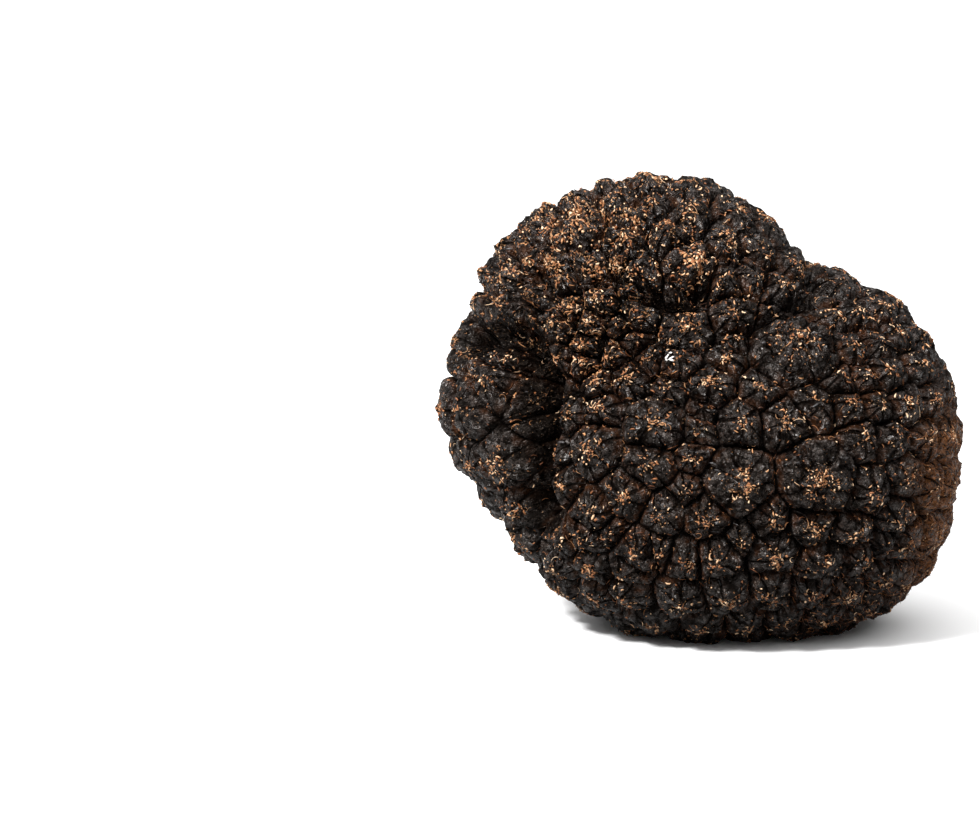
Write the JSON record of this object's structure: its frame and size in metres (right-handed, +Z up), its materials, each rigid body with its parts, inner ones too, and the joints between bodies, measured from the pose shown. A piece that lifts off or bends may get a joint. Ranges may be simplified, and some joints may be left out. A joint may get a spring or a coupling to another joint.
{
  "type": "black truffle",
  "caption": "Whole uncut black truffle: a lumpy rounded fungus covered in low polygonal warts, with a small flat spot to rest on.",
  "frame": {"origin": "under the middle of the bounding box, at the level of the flat resting spot", "axes": "+Z up, +X to the right along the longest side, -Y the front"},
  "size_m": [0.0598, 0.046, 0.0529],
  "materials": {
    "truffle_skin": "rough dry skin, near-black with brown grooves and tan flecks"
  },
  "bodies": {
    "root": {"truffle": "truffle_skin"}
  },
  "joints": []
}
